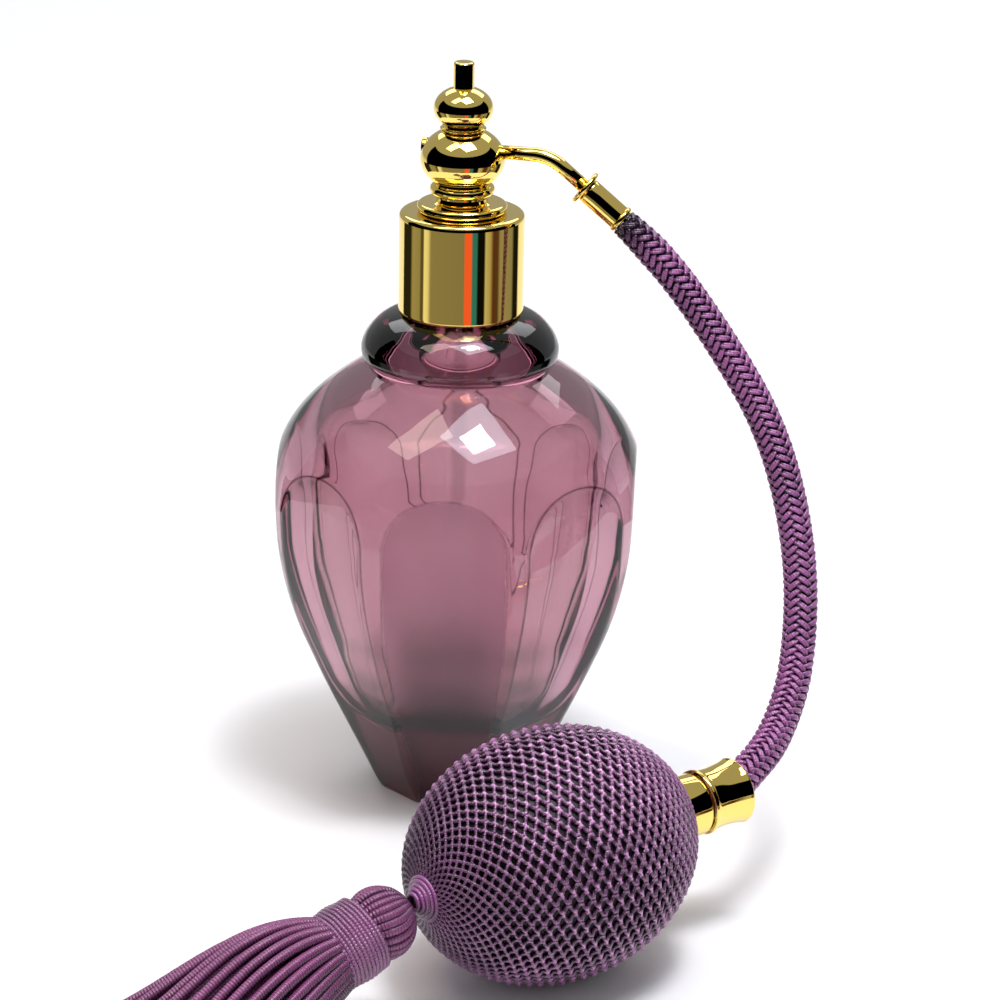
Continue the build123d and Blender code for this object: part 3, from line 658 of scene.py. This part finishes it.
def turned(name, outline, body, *nodes, steps=128, place=None, finish=gold, slot="polished_gold"):
    """Solid of revolution that stands for CAD nodes.

    Its outline is (radius, height) pairs in millimetres, and starts and ends on the axis or
    comes back to its start.
    """
    bm = spun(outline, steps)
    if place is not None:
        bmesh.ops.transform(bm, matrix=place, verts=bm.verts)
    bmesh.ops.recalc_face_normals(bm, faces=bm.faces)
    for face in bm.faces:
        face.smooth = True
    mesh = bpy.data.meshes.new(name)
    bm.to_mesh(mesh)
    bm.free()
    mesh.set_sharp_from_angle(angle=radians(40))
    made = mesh_object(name, mesh, finish)
    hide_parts(*nodes)
    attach(made, body)
    return made


def arc(middle, radius, start, end, steps=6):
    """Points round part of a circle, or of an ellipse if radius is a pair. Angles in degrees from outward."""
    across, up = radius if isinstance(radius, tuple) else (radius, radius)
    return [(middle[0] + across * cos(radians(start + (end - start) * i / steps)),
             middle[1] + up * sin(radians(start + (end - start) * i / steps))) for i in range(steps + 1)]


# The collar is a drawn cup with a rolled foot and rounded top edges.
turned("collar_cup",
       [(11.2, 97.4)] + arc((11.6, 97.45), 0.4, 180, 360, 6) + [(12.0, 98.0)]
       + straight((12.0, 98.0), (12.0, 115.6), 12)
       + arc((11.0, 115.7), 1.0, 0, 90, 8) + straight((11.0, 116.7), (4.7, 116.7), 4)
       + [(4.65, 116.6), (4.65, 116.0), (11.0, 115.9), (11.2, 115.7), (11.2, 97.4)],
       "collar", "collar_shell", steps=160)
# The rose under the head is a thick disc with a full round edge.
turned("rose",
       [(3.1, 116.8), (7.9, 116.8)] + arc((7.85, 117.65), (0.75, 0.85), -90, 90, 10)
       + [(7.5, 118.5), (5.2, 118.5), (3.1, 118.5), (3.1, 116.8)], "head", "head_flange")
# The head: waist, bead, large ball and a short neck with a bead, turned from one bar.
turned("head_turning",
       [(0, 118.5), (5.6, 118.5), (5.0, 118.8), (4.85, 119.4), (4.9, 120.0)]
       + arc((4.9, 121.1), (1.3, 1.1), -75, 75, 8) + [(5.2, 122.25)]
       + arc((0, 127.0), (8.07, 6.2), -49, 62, 32) + [(3.62, 132.6), (3.6, 132.75)]
       + arc((3.6, 132.85), (0.8, 0.35), -60, 80, 6) + [(3.5, 133.5), (0, 133.5)],
       "head", "atomizer_body")
turned("top_ball", arc((0, 136.7), (5.67, 4.2), -90, 90, 40), "head", "top_ball")
turned("pin", [(0, 140.3), (1.97, 140.3), (1.97, 144.9)] + arc((1.47, 145.1), 0.5, 0, 90, 5) + [(0, 145.6)],
       "head", "finial_pin")
# The spray nozzle is a small flush button opposite the elbow.
ELBOW_TURN = radians(-9.0)
ELBOW_Z = 128.7
nozzle_dir = Vector((-cos(ELBOW_TURN), -sin(ELBOW_TURN), 0))
nozzle_place = (Matrix.Translation(Vector((0, 0, ELBOW_Z)) * MM)
                @ nozzle_dir.to_track_quat("Z", "X").to_matrix().to_4x4())
turned("nozzle", [(0, 6.9), (1.8, 6.9), (1.8, 7.5)] + arc((1.5, 7.55), 0.3, 0, 75, 4)
       + [(0.55, 8.0), (0.45, 7.5), (0, 7.5)], "head", "spray_nozzle", place=nozzle_place, steps=48)

# The air elbow is bent tube, with a collar ring and a crimped ferrule on it.
ELBOW_CORNER = Vector((16.49, -2.61, ELBOW_Z))
ELBOW_DIP = radians(39)
ELBOW_BEND = 9.0
ELBOW_RADIUS = 1.35
flat = Vector((cos(ELBOW_TURN), sin(ELBOW_TURN), 0))
dip = flat * cos(ELBOW_DIP) - Vector((0, 0, 1)) * sin(ELBOW_DIP)
setback = ELBOW_BEND * tan(ELBOW_DIP / 2)
bend_start = ELBOW_CORNER - flat * setback
bend_line = [flat * 6.0 + Vector((0, 0, ELBOW_Z))]
for i in range(17):
    swept = ELBOW_DIP * i / 16
    drop = ELBOW_BEND * (1 - cos(swept))
    bend_line.append(bend_start + flat * (ELBOW_BEND * sin(swept)) - Vector((0, 0, drop)))
bend_line.append(ELBOW_CORNER + dip * 12.0)
elbow = cords_mesh("elbow", [[tuple(p * MM) for p in bend_line]], ELBOW_RADIUS * MM, gold, sides=10)
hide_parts("air_elbow")
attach(elbow, "head")
elbow_place = Matrix.Translation(ELBOW_CORNER * MM) @ dip.to_track_quat("Z", "X").to_matrix().to_4x4()
RING_ALONG = (Vector((23.40, -3.71, 123.04)) - ELBOW_CORNER).dot(dip)
turned("elbow_ring", [(1.3, RING_ALONG - 0.5), (2.9, RING_ALONG - 0.5)]
       + arc((2.9, RING_ALONG), (0.6, 0.5), -90, 90, 8) + [(1.3, RING_ALONG + 0.5), (1.3, RING_ALONG - 0.5)],
       "head", "elbow_ring", place=elbow_place)
turned("ferrule",
       [(1.36, 9.4), (2.1, 9.4), (2.4, 9.7), (2.45, 10.1)] + straight((2.45, 10.1), (2.45, 17.4), 4)
       + arc((2.5, 17.9), (0.25, 0.45), -80, 90, 6)
       + [(2.2, 18.5), (2.1, 17.8), (1.9, 12.0), (1.36, 12.0), (1.36, 9.4)],
       "head", "hose_ferrule", place=elbow_place, steps=64)

# The bulb's collar and flared socket, on the bulb's own line.
BULB_MIDDLE = Vector((23.4, -84.2, 22.75))
BULB_LINE = Vector((0.760813, 0.647503, 0.043619)).normalized()
bulb_place = Matrix.Translation(BULB_MIDDLE * MM) @ BULB_LINE.to_track_quat("Z", "Y").to_matrix().to_4x4()
turned("bulb_collar", [(5.05, 27.7), (5.5, 27.7)] + arc((5.2, 28.4), (0.6, 0.6), -70, 0, 5)
       + arc((5.2, 32.3), (0.6, 0.6), 0, 90, 6) + [(5.05, 32.9), (5.05, 27.7)],
       "head", "bulb_collar", place=bulb_place)
turned("socket", [(4.9, 33.15), (5.7, 33.15)] + arc((5.75, 33.75), (0.35, 0.5), -80, 60, 6)
       + smooth_line([(5.85, 34.3), (5.62, 36.6), (5.6, 38.2), (5.75, 40.2), (5.95, 41.4)], 4)
       + arc((5.65, 41.9), (0.45, 0.4), -20, 110, 7)
       + [(5.15, 42.1), (4.92, 41.2), (4.9, 38.0), (4.9, 33.15)],
       "head", "hose_socket", place=bulb_place)


# ---------------------------------------------------------------- rubber bulb in its net
# A squeeze bulb of dark rubber inside a knotted net of glossy plum cord, gathered to a sleeve
# under the collar at the front and tied off in a knot at the tail.
NET_RADIUS = 22.7 * MM
NET_HALF = 28.2 * MM
NET_COLUMNS = 72
NET_STITCHES = 36
NET_CORD_R = 0.45 * MM
SLEEVE_R = 4.6 * MM

net_yarn = yarn("net_yarn", (0.050, 0.004, 0.045), (1.0, 0.46, 0.90), 0.00045, 0.15, 45.0, 0.00006, 1.1,
                Sheen_Tint=(0.95, 0.78, 1.0, 1))
bulb_rubber = dull_rubber("bulb_rubber", (0.006, 0.002, 0.008), 500.0)

turned("bulb_rubber",
       arc((0, 0), (NET_RADIUS / MM - 0.95, NET_HALF / MM - 0.95), -90, 77, 60)
       + [(4.3, 27.6), (4.2, 32.9), (0, 32.9)],
       "head", "rubber_bulb", place=bulb_place, finish=bulb_rubber, slot="bulb_rubber")


def bulb_point(turned_by, t, lift=0.0):
    """Place on the net at an angle around the bulb's line and a height along it, in metres."""
    inner = max(1 - (t / NET_HALF) ** 2, 0)
    radius = max(NET_RADIUS * sqrt(inner), SLEEVE_R if t > 0 else 1.3 * MM) - 0.45 * MM + lift
    return bulb_place @ Vector((radius * cos(turned_by), radius * sin(turned_by), t))


net_lines = []
POLE = 0.05               # how near the tail the cords start, and the sleeve end at
FRONT = 1.368
for column in range(NET_COLUMNS):
    points = []
    for step in range(NET_STITCHES * 5 + 1):
        phase = 2 * pi * step / 5
        # Stitches are even along the surface, and shrink towards the two ends.
        polar = -pi / 2 + POLE + (pi / 2 + FRONT - POLE) * step / (NET_STITCHES * 5)
        swing = (1 if column % 2 else -1) * sin(phase + 0.3)
        slim = 0.30 + 0.80 * max(cos(polar), 0.14)
        # Neighbours touch and stand proud where they loop through each other.
        lift = (0.50 * abs(swing) ** 2 - 0.35) * slim * MM
        angle = 2 * pi * (column + 0.5 + 0.43 * swing) / NET_COLUMNS
        points.append((*bulb_point(angle, NET_HALF * sin(polar), lift), slim))
    points += [(*bulb_point(2 * pi * (column + 0.5) / NET_COLUMNS, NET_HALF * sin(FRONT) + step * MM), 0.45)
               for step in (1.5, 3.5, 5.2)]
    net_lines.append(points)
net = cords_mesh("bulb_net_cords", net_lines, NET_CORD_R, net_yarn, sides=1)
# Painted shading: the net is painted lighter where it stands out from the bulb and darker where it sinks to
# it.
in_bulb = (vertex_places(net) - np.array(bulb_place.translation)) @ np.array(bulb_place.to_3x3())
roundness = 1 - (in_bulb[:, 2] / NET_HALF) ** 2
skin = NET_RADIUS * np.sqrt(np.clip(roundness, 0.01, 1))
out = (np.linalg.norm(in_bulb[:, :2], axis=1) - skin) * np.sqrt(np.clip(roundness, 0.2, 1))
# Towards the tail the stitches crowd together, and the shade they cast on each other is painted darker there.
crowd_shade = np.interp(in_bulb[:, 2] / NET_HALF, [-1, -0.6, 1], [0.15, 0.9, 1])
mark_proud_shading(net, np.clip((out + 0.62 * MM) / (0.80 * MM), 0, 1) ** 3.4 * crowd_shade)
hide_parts("bulb_net")
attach(net, "head")

# The tail is whipped with a few turns of the same cord, over the air inlet.
tail_turns = []
for turn_r, t in ((3.9, -27.75), (3.3, -28.25), (2.6, -28.75), (2.1, -29.3), (1.5, -29.9)):
    around_tail = [2 * pi * i / 32 for i in range(33)]
    tail_turns.append([tuple(bulb_place @ (Vector((turn_r * cos(angle), turn_r * sin(angle), t)) * MM))
                       for angle in around_tail])
# Painted light: the turns are painted lighter on their sides facing up and towards the front.
whipping = cords_mesh("tail_whipping", tail_turns, 0.42 * MM, braid_yarn, sides=2,
                      crest=lambda centres: np.tile((-0.30, -0.65, 0.70), (len(centres), 1)))
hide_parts("tail_knot")
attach(whipping, "head")


# ---------------------------------------------------------------- tassel
# Thick corded strands folded over the tail loop, bound with a flat whipping of fine cord, and
# left to fall and fan out on the table.
TASSEL_ROOT = Vector((0.880, -103.366, 21.459))
TASSEL_LINE = Vector((-0.7494, -0.5855, -0.3090)).normalized()
TASSEL_LEVEL = Vector((-0.788, -0.616, 0)).normalized()
TASSEL_SIDE = Vector((-0.616, 0.788, 0)).normalized()
TASSEL_TOP = TASSEL_LINE.cross(TASSEL_SIDE).normalized()
if TASSEL_TOP.z < 0:
    TASSEL_TOP = -TASSEL_TOP
HEAD_STRANDS = 26
HEAD_R = 6.6
HEAD_START = 1.9          # from the knot the tassel swings on
BIND_START, BIND_END, BIND_R = 10.6, 18.6, 6.9
BIND_TURNS = 10
SKIRT_R = 0.92            # half thickness of a strand
SKIRT_LAYERS = ((30, 6.0, 1.0, 0), (24, 4.4, 0.85, 1), (16, 2.6, 0.6, 2))   # strands, ring, share of the fan
SKIRT_END = Vector((-47.7, -141.35, 0))
SKIRT_FAN = 25.0          # how far to each side the strands fan out


def from_tassel_line(centres):
    """Ways out from the tassel's own line, along which strands are painted lighter and facing in darker, as
    painted shading.
    """
    off = centres - np.array(TASSEL_ROOT) * MM
    off = off - np.outer(off @ np.array(TASSEL_LINE), np.array(TASSEL_LINE))
    return off / np.maximum(np.linalg.norm(off, axis=1), 1e-6)[:, None]


tassel_yarn = yarn("tassel_yarn", (0.012, 0.001, 0.014), (0.34, 0.085, 0.25), 0.00056, 0.28,
                   38.0, 0.00018, 0.9, Specular_IOR_Level=0.7, Coat_Weight=0.15,
                   Sheen_Tint=(0.95, 0.80, 1.0, 1))
bind_yarn = yarn("binding_yarn", (0.014, 0.002, 0.018), (0.33, 0.10, 0.27), 0.00056, 0.28, 60.0, 0.00014, 0.8,
                 Roughness=0.28, Sheen_Tint=(0.95, 0.80, 1.0, 1))
rng = np.random.default_rng(7)


def around_tassel(angle, radius, s):
    return TASSEL_ROOT + TASSEL_LINE * s + (TASSEL_SIDE * cos(angle) + TASSEL_TOP * sin(angle)) * radius


head_lines = []
for i in range(HEAD_STRANDS):
    angle = 2 * pi * i / HEAD_STRANDS + rng.uniform(-0.05, 0.05)
    points = []
    for step in range(19):
        s = HEAD_START + (BIND_START + 1.0 - HEAD_START) * step / 18
        bulge = HEAD_R * sqrt(max(1 - ((s - HEAD_START - 5.6) / 5.9) ** 2, 0.03)) - 0.75
        place = around_tassel(angle + 0.10 * sin(s / 3), max(bulge, 1.2), s) * MM
        points.append((*place, 0.55 + 0.45 * bulge / HEAD_R))
    head_lines.append(points)
# Painted shading: strands are painted lighter facing out and darker facing in towards the core.
folds = cords_mesh("tassel_folds", head_lines, 0.88 * MM, tassel_yarn, sides=3, crest=from_tassel_line)
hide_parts("tassel_head")
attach(folds, "tassel")
tassel_place = Matrix.Translation(TASSEL_ROOT * MM) @ TASSEL_LINE.to_track_quat("Z", "Y").to_matrix().to_4x4()
turned("tassel_core", [(0, 2.6)] + arc((0, 7.0), (5.0, 5.0), -60, 0, 8) + [(5.3, 18.0), (0, 18.2)],
       "tassel", "tassel_band", steps=48, place=tassel_place, finish=bulb_rubber, slot="purple_textile")

bind_lines = []
for turn_i in range(BIND_TURNS):
    s = BIND_START + 0.45 + (BIND_END - BIND_START - 0.9) * turn_i / (BIND_TURNS - 1)
    swell = BIND_R - 0.25 * abs(turn_i - 4.5) / 4.5
    bind_lines.append([(*(around_tassel(2 * pi * i / 48, swell + 0.06 * sin(5 * i + turn_i),
                                        s + 0.25 * sin(2 * pi * i / 48 + 0.7)) * MM), 1) for i in range(49)])
binding = cords_mesh("tassel_binding", bind_lines, 0.50 * MM, bind_yarn, sides=2, crest=from_tassel_line)
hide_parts("tassel_band")
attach(binding, "tassel")

skirt_lines = []
for count, ring_r, fan, layer in SKIRT_LAYERS:
    for i in range(count):
        angle = 2 * pi * (i + 0.5 * (layer % 2)) / count + rng.uniform(-0.03, 0.03)
        start = around_tassel(angle, ring_r, BIND_END - 1.0)
        across = SKIRT_FAN * fan * cos(angle) * (1 + 0.08 * rng.uniform(-1, 1))
        low = 1.0 + 2.9 * (1 + sin(angle)) * fan * (0.62 + 0.38 * abs(sin(angle))) * rng.uniform(0.85, 1.15)
        end = SKIRT_END + TASSEL_LEVEL * (rng.uniform(-2.0, 1.0) - 5 * abs(cos(angle)) ** 3 * fan)
        end += TASSEL_SIDE * across
        end.z = low
        way = (TASSEL_LEVEL * 1.0 + TASSEL_SIDE * (across / 34)).normalized()
        reach = (end - start).length
        leave = (TASSEL_LINE + TASSEL_LEVEL * max(sin(angle), 0) * 0.9).normalized()
        swell = (start - around_tassel(angle, 0, BIND_END - 1.0)) * (0.9 + 0.5 * max(sin(angle), 0))
        hump = Vector((0, 0, 4.5 * max(sin(angle), 0) * fan))
        bend = interpolate_bezier(start, start + leave * reach * 0.34 + swell,
                                  end - way * reach * 0.36 + hump, end, 30)
        skirt_lines.append([(*(Vector((p.x, p.y, max(p.z, 0.95))) * MM), 1) for p in bend])
# Painted light: the strands are painted lighter on their tops, facing up and towards the front.
skirt = cords_mesh("tassel_strands", skirt_lines, SKIRT_R * MM, tassel_yarn, sides=3,
                   crest=lambda centres: np.tile((-0.2, -0.45, 0.87), (len(centres), 1)))
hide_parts("tassel_skirt")
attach(skirt, "tassel")


# ---------------------------------------------------------------- parts inside
# Plain turned and moulded parts that mostly don't show: the pump's stem and clip, seals, the
# suction tube, and the valves in the bulb.
def grained(name, scale, low, high, **values):
    """Material whose roughness varies a little."""
    made, tree, shader = material(name, **values)
    grain = add_node(tree, "ShaderNodeTexNoise", Scale=scale, Detail=2.0)
    spread = add_node(tree, "ShaderNodeMapRange", Value=grain.outputs["Fac"], To_Min=low, To_Max=high)
    tree.links.new(spread.outputs["Result"], shader.inputs["Roughness"])
    return made


plain_brass = grained("plain_brass", 300.0, 0.15, 0.35, Base_Color=(0.80, 0.55, 0.22, 1), Metallic=1.0)
white_seal = grained("white_seal", 200.0, 0.35, 0.6, Base_Color=(0.80, 0.78, 0.75, 1))
natural_plastic = grained("natural_plastic", 200.0, 0.3, 0.5, Base_Color=(0.62, 0.58, 0.55, 1))
steel = grained("valve_steel", 400.0, 0.12, 0.25, Base_Color=(0.62, 0.62, 0.64, 1), Metallic=1.0)
clear_plastic = grained("clear_plastic", 150.0, 0.02, 0.10,
                        Base_Color=(0.97, 0.95, 0.97, 1), Alpha=0.10, IOR=1.45)
INSIDE = {
    "neck_gasket": white_seal, "swivel_bushing": natural_plastic, "collar_liner": natural_plastic,
    "stem": plain_brass, "stem_clip": steel, "dip_tube": clear_plastic, "mixing_insert": natural_plastic,
    "outlet_valve_body": natural_plastic, "outlet_valve_ball": steel, "outlet_barb": plain_brass,
    "inlet_valve_body": natural_plastic, "inlet_valve_ball": steel}
for node, finish in INSIDE.items():
    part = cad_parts[node]
    part.data.materials.clear()
    part.data.materials.append(finish)
